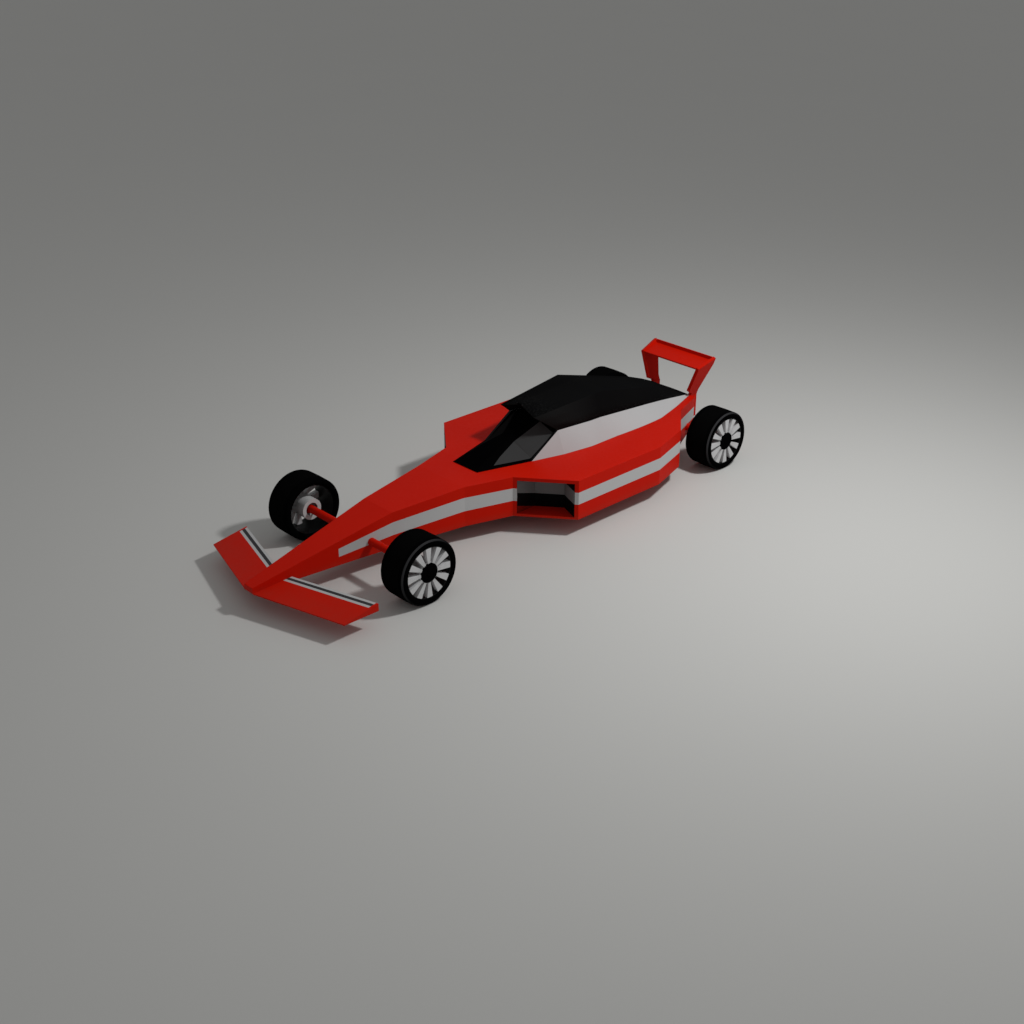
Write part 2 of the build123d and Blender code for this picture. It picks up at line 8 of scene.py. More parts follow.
import bpy
import numpy as np
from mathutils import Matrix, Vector

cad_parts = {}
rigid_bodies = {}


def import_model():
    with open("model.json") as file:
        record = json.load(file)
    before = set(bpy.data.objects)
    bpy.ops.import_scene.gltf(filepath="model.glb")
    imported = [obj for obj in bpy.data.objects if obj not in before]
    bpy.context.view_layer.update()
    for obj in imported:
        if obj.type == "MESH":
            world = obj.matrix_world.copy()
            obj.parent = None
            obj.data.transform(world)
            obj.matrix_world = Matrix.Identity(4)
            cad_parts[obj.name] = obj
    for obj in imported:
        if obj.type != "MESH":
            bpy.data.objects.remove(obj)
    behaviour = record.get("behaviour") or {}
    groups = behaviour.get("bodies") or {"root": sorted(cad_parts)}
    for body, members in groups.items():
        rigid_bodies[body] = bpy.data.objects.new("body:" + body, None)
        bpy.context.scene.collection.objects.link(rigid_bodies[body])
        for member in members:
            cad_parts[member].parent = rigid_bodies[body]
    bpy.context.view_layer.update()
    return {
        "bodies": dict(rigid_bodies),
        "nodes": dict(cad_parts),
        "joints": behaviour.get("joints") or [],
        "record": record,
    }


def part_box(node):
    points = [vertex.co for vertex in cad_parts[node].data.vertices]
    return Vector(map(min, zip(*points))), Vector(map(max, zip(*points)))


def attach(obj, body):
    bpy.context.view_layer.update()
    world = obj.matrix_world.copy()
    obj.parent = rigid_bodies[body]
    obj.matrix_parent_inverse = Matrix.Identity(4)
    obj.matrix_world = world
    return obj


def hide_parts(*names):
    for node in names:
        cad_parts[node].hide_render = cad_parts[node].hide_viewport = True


LOG = logging.getLogger("racing_car")
Piece = bpy.types.Object
Material = bpy.types.Material
Socket = bpy.types.NodeSocket
Pair = tuple[float, float]
Point = tuple[float, float, float]
Colour = tuple[float, float, float]
Line = tuple[Pair, ...]
Rows = tuple[Point, ...]
Value = Socket | Colour | float

HINGE: Point = (0.0, 0.384, 1.043)
INTAKE_CORNER: Pair = (0.486, -0.165)
INTAKE_ALONG: Pair = (0.7796, 0.6262)
INTAKE_INWARD: Pair = (-0.6262, 0.7796)
INTAKE_BAND: Pair = (0.340, 0.475)
SHUT_SIZE = 1e-5


class Stripe(Enum):
    """Which white stripes a red panel carries."""

    NONE = "none"
    FLANK = "flank"
    WING = "wing"


class Grain(Enum):
    """Fine surface of a moulded or cast piece."""

    PLASTIC = "plastic"
    CAST = "cast"
    WEAVE = "weave"


class Sheet:
    """One material's node sheet, with short calls for the nodes that the finishes use."""

    def __init__(self, name: str) -> None:
        """Start an empty sheet with a Principled shader.

        Args:
            name: The material's name.
        """
        self.material = bpy.data.materials.new(name)
        self.material.use_nodes = True
        self.tree = self.material.node_tree
        self.shader = self.tree.nodes["Principled BSDF"]
        self.place = self.add("ShaderNodeTexCoord").outputs["Object"]
        split = self.add("ShaderNodeSeparateXYZ")
        self.link(self.place, split.inputs[0])
        self.x, self.y, self.z = split.outputs

    def add(self, kind: str) -> bpy.types.Node:
        """Add a node of one kind."""
        return self.tree.nodes.new(kind)

    def link(self, source: Socket, target: Socket) -> None:
        """Join an output to an input."""
        self.tree.links.new(source, target)

    def put(self, value: Value, target: Socket) -> None:
        """Give an input a link or, for a number or a colour, a set value.

        Args:
            value: Socket, number, colour or vector.
            target: The input.
        """
        if isinstance(value, Socket):
            self.link(value, target)
        elif isinstance(value, tuple):
            target.default_value = (*value, 1.0) if len(target.default_value) == 4 else value
        else:
            target.default_value = value

    def maths(self, kind: str, first: Value, second: Value = 0.0, third: Value = 0.0) -> Socket:
        """Work out one Math node.

        Args:
            kind: The node's operation.
            first: First number or socket.
            second: Second number or socket.
            third: Third number or socket.

        Returns:
            The result's socket.
        """
        node = self.add("ShaderNodeMath")
        node.operation = kind
        for value, target in zip((first, second, third), node.inputs):
            self.put(value, target)
        return node.outputs[0]

    def times(self, first: Value, second: Value) -> Socket:
        """Multiply two values, which for two masks gives where both are 1."""
        return self.maths("MULTIPLY", first, second)

    def between(self, value: Value, low: Value, high: Value) -> Socket:
        """Return 1 where a value lies between two others, else 0."""
        return self.times(self.maths("GREATER_THAN", value, low),
                          self.maths("LESS_THAN", value, high))

    def ramp(self, value: Value, low: float, high: float, start: float = 0.0,
             end: float = 1.0) -> Socket:
        """Map a value from low..high to start..end, held level outside.

        Args:
            value: The socket that is mapped.
            low: Value that gives start.
            high: Value that gives end.
            start: Result at low.
            end: Result at high.

        Returns:
            The result's socket.
        """
        node = self.add("ShaderNodeMapRange")
        for item, target in zip((value, low, high, start, end), node.inputs):
            self.put(item, target)
        return node.outputs[0]

    def noise(self, size: float, detail: float = 3.0, stretch: Point = (1.0, 1.0, 1.0)) -> Socket:
        """Return a noise on the piece's own coordinates.

        Args:
            size: Size of a patch in metres.
            detail: Octaves of finer noise.
            stretch: Scale along each axis, for grain.

        Returns:
            The noise's socket, 0 to 1 with a mean of about a half.
        """
        turn = self.add("ShaderNodeMapping")
        turn.inputs["Scale"].default_value = stretch
        self.link(self.place, turn.inputs["Vector"])
        node = self.add("ShaderNodeTexNoise")
        node.inputs["Scale"].default_value = 1.0 / size
        node.inputs["Detail"].default_value = detail
        self.link(turn.outputs[0], node.inputs["Vector"])
        return node.outputs["Fac"]

    def along(self, value: Value, points: Line) -> Socket:
        """Return a broken line through points as a function of a value.

        Args:
            value: The socket read along the line.
            points: Rows of value and height, heights from 0 to 1.

        Returns:
            The line's height at the value.
        """
        low, high = points[0][0], points[-1][0]
        node = self.add("ShaderNodeFloatCurve")
        curve = node.mapping.curves[0]
        while len(curve.points) < len(points):
            curve.points.new(0.5, 0.5)
        for knot, (across, up) in zip(curve.points, points):
            knot.location = ((across - low) / (high - low), up)
            knot.handle_type = "VECTOR"
        node.mapping.update()
        self.link(self.ramp(value, low, high), node.inputs["Value"])
        return node.outputs[0]

    def blend(self, share: Value, first: Value, second: Value) -> Socket:
        """Mix two colours.

        Args:
            share: How much of the second colour, 0 to 1.
            first: Colour or socket at 0.
            second: Colour or socket at 1.

        Returns:
            The mixed colour's socket.
        """
        node = self.add("ShaderNodeMix")
        node.data_type = "RGBA"
        self.put(share, node.inputs[0])
        self.put(first, node.inputs[6])
        self.put(second, node.inputs[7])
        return node.outputs[2]

    def about(self, axle: Pair) -> tuple[Socket, Socket, Socket]:
        """Measure from an axle that runs along X.

        Args:
            axle: Its y and z.

        Returns:
            The way back, the way up and the distance from it.
        """
        back = self.maths("SUBTRACT", self.y, axle[0])
        up = self.maths("SUBTRACT", self.z, axle[1])
        squares = self.maths("ADD", self.times(back, back), self.times(up, up))
        return back, up, self.maths("SQRT", squares)

    def flat_normal(self) -> Socket:
        """Return the direction that the flat face points in."""
        return self.add("ShaderNodeNewGeometry").outputs["True Normal"]

    def facing(self) -> tuple[Socket, ...]:
        """Split the direction that the flat face points in.

        Returns:
            Its x, y and z.
        """
        split = self.add("ShaderNodeSeparateXYZ")
        self.link(self.flat_normal(), split.inputs[0])
        return tuple(split.outputs)

    def rounded_normal(self, radius: float) -> Socket:
        """Work out the normal that the piece would have with its edges rounded.

        Args:
            radius: Radius of the rounding in metres.

        Returns:
            The normal's socket.
        """
        bevel = self.add("ShaderNodeBevel")
        bevel.samples = 4
        bevel.inputs["Radius"].default_value = radius
        return bevel.outputs[0]

    def edges(self, radius: float) -> Socket:
        """Find the edges, from how far a rounded normal leaves the flat one.

        Args:
            radius: Width of an edge in metres.

        Returns:
            The mask, 1 on edges and 0 on faces.
        """
        dot = self.add("ShaderNodeVectorMath")
        dot.operation = "DOT_PRODUCT"
        self.link(self.rounded_normal(radius), dot.inputs[0])
        self.link(self.flat_normal(), dot.inputs[1])
        return self.ramp(dot.outputs["Value"], 0.995, 0.9)

    def bump(self, height: Value, depth: float, strength: float = 1.0,
             rounding: float = 0.0) -> None:
        """Drive the shader's normal by a height.

        Args:
            height: Socket of heights, 0 to 1.
            depth: Height of 1 in metres.
            strength: Share of the effect.
            rounding: Radius of softened edges in metres, or 0 for none.
        """
        node = self.add("ShaderNodeBump")
        node.inputs["Strength"].default_value = strength
        node.inputs["Distance"].default_value = depth
        self.put(height, node.inputs["Height"])
        if rounding > 0.0:
            self.link(self.rounded_normal(rounding), node.inputs["Normal"])
        self.link(node.outputs[0], self.shader.inputs["Normal"])

    def finish(self, colour: Value, roughness: Value, metallic: float = 0.0,
               specular: float = 0.5) -> Material:
        """Set the shader's main sockets and return the material.

        Args:
            colour: Base colour or its socket.
            roughness: Roughness or its socket.
            metallic: Metal share.
            specular: Specular level.

        Returns:
            The finished material.
        """
        self.put(colour, self.shader.inputs["Base Color"])
        self.put(roughness, self.shader.inputs["Roughness"])
        self.shader.inputs["Metallic"].default_value = metallic
        self.shader.inputs["Specular IOR Level"].default_value = specular
        return self.material


@dataclass(frozen=True)
class RedLacquer:
    """Red body lacquer, with white stripes where the panel carries them, and painted shade on the
    walls inside the intakes, the tub and the engine bay.

    Lines along the car are rows of y and height or half width, and spans are a low and a high
    end. A front wing's lines are shares of its length ahead of its rear edge.
    """

    stripe: Stripe = Stripe.NONE
    red: Colour = (0.62, 0.0100, 0.0014)
    deep_red: Colour = (0.55, 0.0070, 0.0010)
    white: Colour = (0.52, 0.52, 0.52)
    # dark: painted shade, near black, for the intake walls, the insides of the tub and engine bay
    # and the deck under the cover
    dark: Colour = (0.0025, 0.0025, 0.003)
    line_grey: Colour = (0.042, 0.042, 0.046)
    # painted shade: the white stripe and the red floor as they look in the shade inside the intakes
    painted_shade_white: Colour = (0.15, 0.15, 0.15)
    painted_shade_red: Colour = (0.22, 0.006, 0.002)
    primer: Colour = (0.20, 0.19, 0.18)
    road_dust: Colour = (0.10, 0.075, 0.05)
    dust_fade: Pair = (0.25, 0.16)
    upper: Line = ((-2.0, 0.352), (-1.42, 0.438), (-0.68, 0.478), (-0.165, 0.472), (0.23, 0.466),
                   (2.2, 0.470), (2.68, 0.480))
    lower: Line = ((-2.0, 0.271), (-1.42, 0.309), (-0.68, 0.338), (-0.165, 0.340), (2.2, 0.340),
                   (2.68, 0.351))
    stripe_y: Pair = (-2.0, 2.674)
    half_width: Line = ((-1.95, 0.153), (-1.422, 0.206), (-0.649, 0.335), (-0.165, 0.486),
                        (2.286, 0.486))
    deck: Line = ((-1.95, 0.434), (-1.422, 0.540), (-0.649, 0.590), (2.286, 0.590))
    shell_wall: float = 0.008
    deck_wall: float = 0.003
    tub_floor: float = 0.185
    tub_y: Pair = (-1.3, 2.28)
    cover: Line = ((0.2, 0.330), (0.375, 0.376), (0.573, 0.430), (0.914, 0.480), (1.968, 0.472),
                   (2.374, 0.358), (2.65, 0.260))
    cover_y: Pair = (0.24, 2.64)
    cover_z: Pair = (0.58, 0.62)
    intake_x: Pair = (0.002, 0.470)
    intake_z: Pair = (0.2005, 0.5545)
    intake_depth: Pair = (0.004, 0.30)
    wall_x: Pair = (0.018, 0.0215)
    wall_depth: Pair = (0.004, 0.25)
    band_rise: float = 0.085
    band_run: float = 0.20
    sill: float = 0.200
    wing_edge: Pair = (0.2873, -2.5109)
    wing_length: float = 1.0405
    wing_x: Pair = (0.06, 0.976)
    wing_top: float = 0.2
    wing_lines: Pair = (-0.01, 0.084)
    wing_dark: Pair = (0.026, 0.057)

    def flank_mask(self, sheet: Sheet) -> Socket:
        """Find the band between two broken lines along the car's side.

        Args:
            sheet: The material's node sheet.

        Returns:
            The mask, 1 in the band.
        """
        band = sheet.between(sheet.z, sheet.along(sheet.y, self.lower),
                             sheet.along(sheet.y, self.upper))
        return sheet.times(band, sheet.between(sheet.y, *self.stripe_y))

    def wing_masks(self, sheet: Sheet) -> tuple[Socket, Socket]:
        """Find the lines along a front wing's rear edge.

        Args:
            sheet: The material's node sheet.

        Returns:
            Mask of the two white lines, and mask of the dark line between them.
        """
        away = sheet.maths("ABSOLUTE", sheet.x)
        edge_y = sheet.maths("MULTIPLY_ADD", away, *self.wing_edge)
        ahead = sheet.maths("DIVIDE", sheet.maths("SUBTRACT", edge_y, sheet.y), self.wing_length)
        on_top = sheet.times(sheet.between(away, *self.wing_x),
                             sheet.maths("GREATER_THAN", sheet.z, self.wing_top))
        lines = sheet.between(ahead, *self.wing_lines)
        middle = sheet.between(ahead, *self.wing_dark)
        white = sheet.times(on_top, sheet.maths("SUBTRACT", lines, middle))
        return white, sheet.times(on_top, middle)

    def inside_mask(self, sheet: Sheet) -> Socket:
        """Find the walls inside the tub and the engine bay, and the deck under the cover, which get
        painted shade.

        Args:
            sheet: The material's node sheet.

        Returns:
            The mask, 1 on those faces.
        """
        away = sheet.maths("ABSOLUTE", sheet.x)
        skin = sheet.maths("SUBTRACT", sheet.along(sheet.y, self.half_width), self.shell_wall)
        below = sheet.maths("SUBTRACT", sheet.along(sheet.y, self.deck), self.deck_wall)
        inner = sheet.times(sheet.maths("LESS_THAN", away, skin),
                            sheet.between(sheet.z, self.tub_floor, below))
        hidden = sheet.maths("LESS_THAN", away, sheet.along(sheet.y, self.cover))
        under = sheet.times(sheet.between(sheet.z, *self.cover_z),
                            sheet.between(sheet.y, *self.cover_y))
        return sheet.maths("MAXIMUM", sheet.times(hidden, under),
                           sheet.times(inner, sheet.between(sheet.y, *self.tub_y)))

    def intake_place(self, sheet: Sheet) -> tuple[Socket, Socket]:
        """Measure from the corner of the intake on a point's own side.

        Args:
            sheet: The material's node sheet.

        Returns:
            The way out from the corner, and the depth behind the intake's slanted face.
        """
        away = sheet.maths("SUBTRACT", sheet.maths("ABSOLUTE", sheet.x), INTAKE_CORNER[0])
        along = sheet.maths("SUBTRACT", sheet.y, INTAKE_CORNER[1])
        return away, sheet.maths("MULTIPLY_ADD", away, INTAKE_INWARD[0],
                                 sheet.times(along, INTAKE_INWARD[1]))

    def intake_mask(self, sheet: Sheet) -> Socket:
        """Find the walls of the intakes, behind the slanted face and above the floor, which get
        painted shade.

        Args:
            sheet: The material's node sheet.

        Returns:
            The mask, 1 on the walls.
        """
        away, depth = self.intake_place(sheet)
        behind = sheet.times(sheet.between(depth, *self.intake_depth),
                             sheet.between(sheet.z, *self.intake_z))
        return sheet.times(behind, sheet.between(away, *self.intake_x))

    def inner_wall(self, sheet: Sheet) -> tuple[Socket, Socket]:
        """Find the intakes' inner walls, whose bands of painted shade rise towards the mouth.

        Args:
            sheet: The material's node sheet.

        Returns:
            Mask of the walls, and the height that their bands follow.
        """
        away, depth = self.intake_place(sheet)
        plane = sheet.times(sheet.between(away, *self.wall_x),
                            sheet.between(sheet.z, *self.intake_z))
        rise = sheet.ramp(depth, 0.0, self.band_run, self.band_rise, 0.0)
        return (sheet.times(plane, sheet.between(depth, *self.wall_depth)),
                sheet.maths("SUBTRACT", sheet.z, rise))

    def make(self, name: str) -> Material:
        """Build the lacquer: slow colour drift, painted shade inside the intakes, the tub and the
        engine bay, chips on edges, soft waves and road dust.

        Args:
            name: The material's name.

        Returns:
            The material.
        """
        sheet = Sheet(name)
        colour = sheet.blend(sheet.noise(0.55, 2.0), self.deep_red, self.red)
        if self.stripe is Stripe.FLANK:
            # Painted shade: the intake walls are near black.
            colour = sheet.blend(self.intake_mask(sheet), colour, self.dark)
            colour = sheet.blend(self.flank_mask(sheet), colour, self.white)
            # Painted shade on the intakes' inner walls: the stripe as it looks in shade, near
            # black, and a shaded red floor.
            wall, level = self.inner_wall(sheet)
            painted_shade_lining = sheet.blend(sheet.between(level, *INTAKE_BAND), self.dark, self.painted_shade_white)
            painted_shade_lining = sheet.blend(sheet.maths("LESS_THAN", level, self.sill), painted_shade_lining, self.painted_shade_red)
            colour = sheet.blend(wall, colour, painted_shade_lining)
            # Painted shade: near black inside the tub and engine bay and on the deck under the
            # cover.
            colour = sheet.blend(self.inside_mask(sheet), colour, self.dark)
        if self.stripe is Stripe.WING:
            white, dark = self.wing_masks(sheet)
            colour = sheet.blend(white, colour, self.white)
            colour = sheet.blend(dark, colour, self.line_grey)
        chips = sheet.maths("GREATER_THAN", sheet.noise(0.006, 2.0), 0.68)
        wear = sheet.times(sheet.edges(0.0035), chips)
        colour = sheet.blend(wear, colour, self.primer)
        dust = sheet.times(sheet.ramp(sheet.z, *self.dust_fade, 0.0, 0.3), sheet.noise(0.09, 4.0))
        colour = sheet.blend(dust, colour, self.road_dust)
        rough = sheet.ramp(sheet.noise(0.03, 5.0), 0.3, 0.7, 0.42, 0.55)
        sheet.bump(sheet.noise(0.004, 1.0), 0.00008, 0.5, 0.003)
        return sheet.finish(colour, rough, specular=0.05)


@dataclass(frozen=True)
class PanelPaint:
    """Satin paint of one colour with fine orange peel and rubbed edges.

    A painted shade lining is the colour of faces turned inward or forward, and a flank is a painted
    highlight on steep faces, which fades in over a span of y.
    """

    base: Colour
    shade: Colour
    worn: Colour
    rough: Pair = (0.40, 0.55)
    specular: float = 0.15
    painted_shade_lining: Colour | None = None
    flank: Colour | None = None
    painted_highlight_y_span: Pair = (1.15, 0.40)

    def make(self, name: str) -> Material:
        """Build the paint.

        Args:
            name: The material's name.

        Returns:
            The material.
        """
        sheet = Sheet(name)
        colour = sheet.blend(sheet.noise(0.4, 3.0), self.shade, self.base)
        rub = sheet.times(sheet.edges(0.003), sheet.ramp(sheet.noise(0.012, 3.0), 0.52, 0.62))
        colour = sheet.blend(rub, colour, self.worn)
        # Painted shade: faces turned inward or forward get the dark lining.
        if self.painted_shade_lining is not None:
            across, along, _ = sheet.facing()
            inward = sheet.maths("LESS_THAN", sheet.times(across, sheet.x), -0.01)
            forward = sheet.maths("LESS_THAN", along, -0.5)
            colour = sheet.blend(sheet.maths("MAXIMUM", inward, forward), colour, self.painted_shade_lining)
        # Painted highlight: steep faces are lightened, fading in towards the front.
        if self.flank is not None:
            steep = sheet.ramp(sheet.facing()[2], 0.97, 0.75)
            painted_highlight_share = sheet.times(steep, sheet.ramp(sheet.y, *self.painted_highlight_y_span))
            colour = sheet.blend(painted_highlight_share, colour, self.flank)
        rough = sheet.ramp(sheet.noise(0.05, 4.0), 0.3, 0.7, *self.rough)
        sheet.bump(sheet.noise(0.003, 1.0), 0.00006, 0.5, 0.003)
        return sheet.finish(colour, rough, specular=self.specular)


@dataclass(frozen=True)
class SmokedGlass:
    """Smoked canopy glass, tinted so dark that nothing shows through it."""

    tint: Colour
    rough: float
    ior: float = 1.45

    def make(self, name: str) -> Material:
        """Build the glass, with faint wipe marks in its gloss.

        Args:
            name: The material's name.

        Returns:
            The material.
        """
        sheet = Sheet(name)
        deep = tuple(0.8 * value for value in self.tint)
        colour = sheet.blend(sheet.noise(0.3, 2.0), deep, self.tint)
        wipes = sheet.noise(0.05, 3.0, (1.0, 0.25, 1.0))
        rough = sheet.ramp(wipes, 0.4, 0.7, self.rough, self.rough + 0.08)
        sheet.bump(sheet.noise(0.2, 1.0), 0.0002, 0.2)
        sheet.shader.inputs["IOR"].default_value = self.ior
        return sheet.finish(colour, rough, specular=0.0)


@dataclass(frozen=True)
class Rubber:
    """Slick tyre rubber round one wheel's axle, with a painted highlight ring on the outer
    shoulder's upper front side.

    The ring reaches in from the outer face, and lies a span of drops below the tread.
    """

    axle: Pair
    outer_x: float
    radius: float
    black: Colour = (0.0016, 0.0016, 0.0018)
    scuffed: Colour = (0.0034, 0.0033, 0.0032)
    # painted highlight: colour of the lit shoulder ring
    painted_highlight_ring: Colour = (0.040, 0.040, 0.042)
    ring_reach: float = 0.022
    ring_drop: Pair = (0.019, 0.004)
    tread_drop: float = 0.002
    rib_wave: float = 1600.0
    rib_span: Pair = (0.262, 0.276)

    def make(self, name: str) -> Material:
        """Build the rubber: a painted highlight ring on the shoulder's upper front side, tread
        scrub in lines round the tyre, fine grain.

        Args:
            name: The material's name.

        Returns:
            The material.
        """
        sheet = Sheet(name)
        back, up, radius = sheet.about(self.axle)
        reach = sheet.times(sheet.x, math.copysign(1.0, self.outer_x))
        near_face = sheet.maths("GREATER_THAN", reach, abs(self.outer_x) - self.ring_reach)
        near_tread = sheet.between(radius, *(self.radius - drop for drop in self.ring_drop))
        scrub = sheet.noise(0.02, 4.0, (6.0, 1.0, 1.0))
        on_tread = sheet.maths("GREATER_THAN", radius, self.radius - self.tread_drop)
        colour = sheet.blend(sheet.times(on_tread, scrub), self.black, self.scuffed)
        # Painted highlight: the ring shows towards the top and the front.
        painted_highlight_side = sheet.ramp(sheet.maths("SUBTRACT", up, back), 0.0, 0.36, 0.12, 1.0)
        painted_highlight_ring = sheet.times(near_face, near_tread)
        colour = sheet.blend(sheet.times(painted_highlight_ring, painted_highlight_side), colour, self.painted_highlight_ring)
        ribs = sheet.maths("SINE", sheet.times(radius, self.rib_wave))
        side = sheet.times(ribs, sheet.between(radius, *self.rib_span))
        sheet.bump(sheet.maths("ADD", sheet.noise(0.0025, 2.0), side), 0.0004, 0.6)
        return sheet.finish(colour, sheet.ramp(scrub, 0.3, 0.7, 0.62, 0.82), specular=0.0)


@dataclass(frozen=True)
class WheelPaint:
    """White blades and hub in a black barrel, round one wheel's axle."""

    axle: Pair
    barrel_r: float
    white: Colour = (0.66, 0.66, 0.665)
    grey: Colour = (0.57, 0.57, 0.58)
    black: Colour = (0.002, 0.002, 0.0022)
    brake_dust: Colour = (0.10, 0.085, 0.07)

    def make(self, name: str) -> Material:
        """Build the wheel's paint: colour by radius, brake dust towards the hub.

        Args:
            name: The material's name.

        Returns:
            The material.
        """
        sheet = Sheet(name)
        radius = sheet.about(self.axle)[2]
        colour = sheet.blend(sheet.noise(0.05, 3.0), self.grey, self.white)
        dust = sheet.times(sheet.ramp(radius, 0.15, 0.10, 0.0, 0.35), sheet.noise(0.02, 4.0))
        colour = sheet.blend(dust, colour, self.brake_dust)
        colour = sheet.blend(sheet.maths("GREATER_THAN", radius, self.barrel_r), colour, self.black)
        rough = sheet.ramp(sheet.noise(0.03, 4.0), 0.3, 0.7, 0.35, 0.5)
        sheet.bump(sheet.noise(0.002, 1.0), 0.00006, 0.5, 0.0015)
        return sheet.finish(colour, rough, specular=0.15)


@dataclass(frozen=True)
class Moulded:
    """Moulded, cast or woven piece of one base colour."""

    base: Colour
    light: Colour
    grain: Grain = Grain.PLASTIC
    rough: Pair = (0.5, 0.7)
    metallic: float = 0.0
    band: Pair | None = None
    band_colour: Colour = (0.55, 0.55, 0.55)
    specular: float = 0.25
    thread_wave: float = 1500.0

    def make(self, name: str) -> Material:
        """Build the finish: grain by kind, mottled colour, rubbed edges and an optional band.

        Args:
            name: The material's name.

        Returns:
            The material.
        """
        sheet = Sheet(name)
        if self.grain is Grain.WEAVE:
            ways = (sheet.maths("ADD", sheet.x, sheet.y), sheet.maths("SUBTRACT", sheet.y, sheet.z))
            warp, weft = (sheet.maths("SINE", sheet.times(way, self.thread_wave)) for way in ways)
            height = sheet.maths("MULTIPLY_ADD", sheet.times(warp, weft), 0.5, 0.5)
            depth = 0.0002
        elif self.grain is Grain.CAST:
            height, depth = sheet.noise(0.006, 4.0), 0.0007
        else:
            height, depth = sheet.noise(0.0018, 2.0), 0.0002
        mottle = sheet.times(height, sheet.noise(0.12, 3.0))
        colour = sheet.blend(sheet.ramp(mottle, 0.1, 0.45), self.base, self.light)
        rub = sheet.times(sheet.edges(0.0025), sheet.noise(0.01, 3.0))
        colour = sheet.blend(sheet.times(rub, 0.6), colour,
                             tuple(min(1.0, 2.5 * value) for value in self.light))
        if self.band is not None:
            colour = sheet.blend(sheet.between(sheet.z, *self.band), colour, self.band_colour)
        rough = sheet.ramp(sheet.noise(0.04, 4.0), 0.3, 0.7, *self.rough)
        sheet.bump(height, depth, 0.6)
        return sheet.finish(colour, rough, self.metallic, self.specular)


@dataclass(frozen=True)
class PlankWood:
    """Laminated plank: dark boards with grain along the car and scraped patches."""

    dark: Colour = (0.060, 0.038, 0.022)
    pale: Colour = (0.160, 0.105, 0.062)
    scraped: Colour = (0.22, 0.17, 0.12)

    def make(self, name: str) -> Material:
        """Build the wood from a noise drawn out along Y.

        Args:
            name: The material's name.

        Returns:
            The material.
        """
        sheet = Sheet(name)
        grain = sheet.noise(0.010, 5.0, (1.0, 0.06, 1.0))
        colour = sheet.blend(sheet.ramp(grain, 0.3, 0.7), self.dark, self.pale)
        scrape = sheet.ramp(sheet.noise(0.25, 2.0), 0.6, 0.7)
        colour = sheet.blend(sheet.times(scrape, 0.5), colour, self.scraped)
        sheet.bump(grain, 0.0004, 0.6)
        return sheet.finish(colour, sheet.ramp(grain, 0.3, 0.7, 0.6, 0.85), specular=0.3)


@dataclass(frozen=True)
class PaleFloor:
    """Plain pale studio floor."""

    colour: Colour = (0.62, 0.62, 0.60)

    def make(self, name: str) -> Material:
        """Build the floor with a faint drift in its tone.

        Args:
            name: The material's name.

        Returns:
            The material.
        """
        sheet = Sheet(name)
        low = tuple(0.985 * value for value in self.colour)
        return sheet.finish(sheet.blend(sheet.noise(2.5, 2.0), low, self.colour), 0.85,
                            specular=0.2)


def surface(name: str, points: np.ndarray, faces: np.ndarray, smooth: bool = True) -> Piece:
    """Put worked-out points and quads into a mesh that faces outward.

    The signed volume, a sixth of the sum over triangles of a . (b x c), tells which way a
    closed shape faces, and its quads are turned round where that is negative.

    Args:
        name: The piece's name.
        points: Array of n by 3 points in metres.
        faces: Array of m by 4 point numbers.
        smooth: Whether the faces are shaded smooth.

    Returns:
        The new object, linked to the scene.
    """
    a, b, c, d = (points[faces[:, i]] for i in range(4))
    volume = np.einsum("ij,ij->", a, np.cross(b, c)) + np.einsum("ij,ij->", a, np.cross(c, d))
    if volume < 0:
        faces = faces[:, ::-1]
    mesh = bpy.data.meshes.new(name)
    mesh.vertices.add(len(points))
    mesh.vertices.foreach_set("co", points.astype(np.float32).ravel())
    mesh.loops.add(faces.size)
    mesh.loops.foreach_set("vertex_index", faces.astype(np.int32).ravel())
    mesh.polygons.add(len(faces))
    mesh.polygons.foreach_set("loop_start", np.arange(0, faces.size, 4, dtype=np.int32))
    mesh.polygons.foreach_set("use_smooth", np.full(len(faces), smooth))
    mesh.update(calc_edges=True)
    mesh.validate()
    piece = bpy.data.objects.new(name, mesh)
    bpy.context.scene.collection.objects.link(piece)
    return piece


def grid_faces(rows: int, columns: int, wrap_rows: bool, wrap_columns: bool) -> np.ndarray:
    """Return the quads of a grid of points, joined round where it wraps.

    Args:
        rows: Number of point rows.
        columns: Number of points in a row.
        wrap_rows: Whether the last row joins the first.
        wrap_columns: Whether a row's last point joins its first.

    Returns:
        Array of quads as point numbers.
    """
    i = np.arange(rows if wrap_rows else rows - 1)
    j = np.arange(columns if wrap_columns else columns - 1)
    i, j = (part.ravel() for part in np.meshgrid(i, j, indexing="ij"))
    i_next, j_next = (i + 1) % rows, (j + 1) % columns
    return np.stack([i * columns + j, i * columns + j_next, i_next * columns + j_next,
                     i_next * columns + j], axis=1)


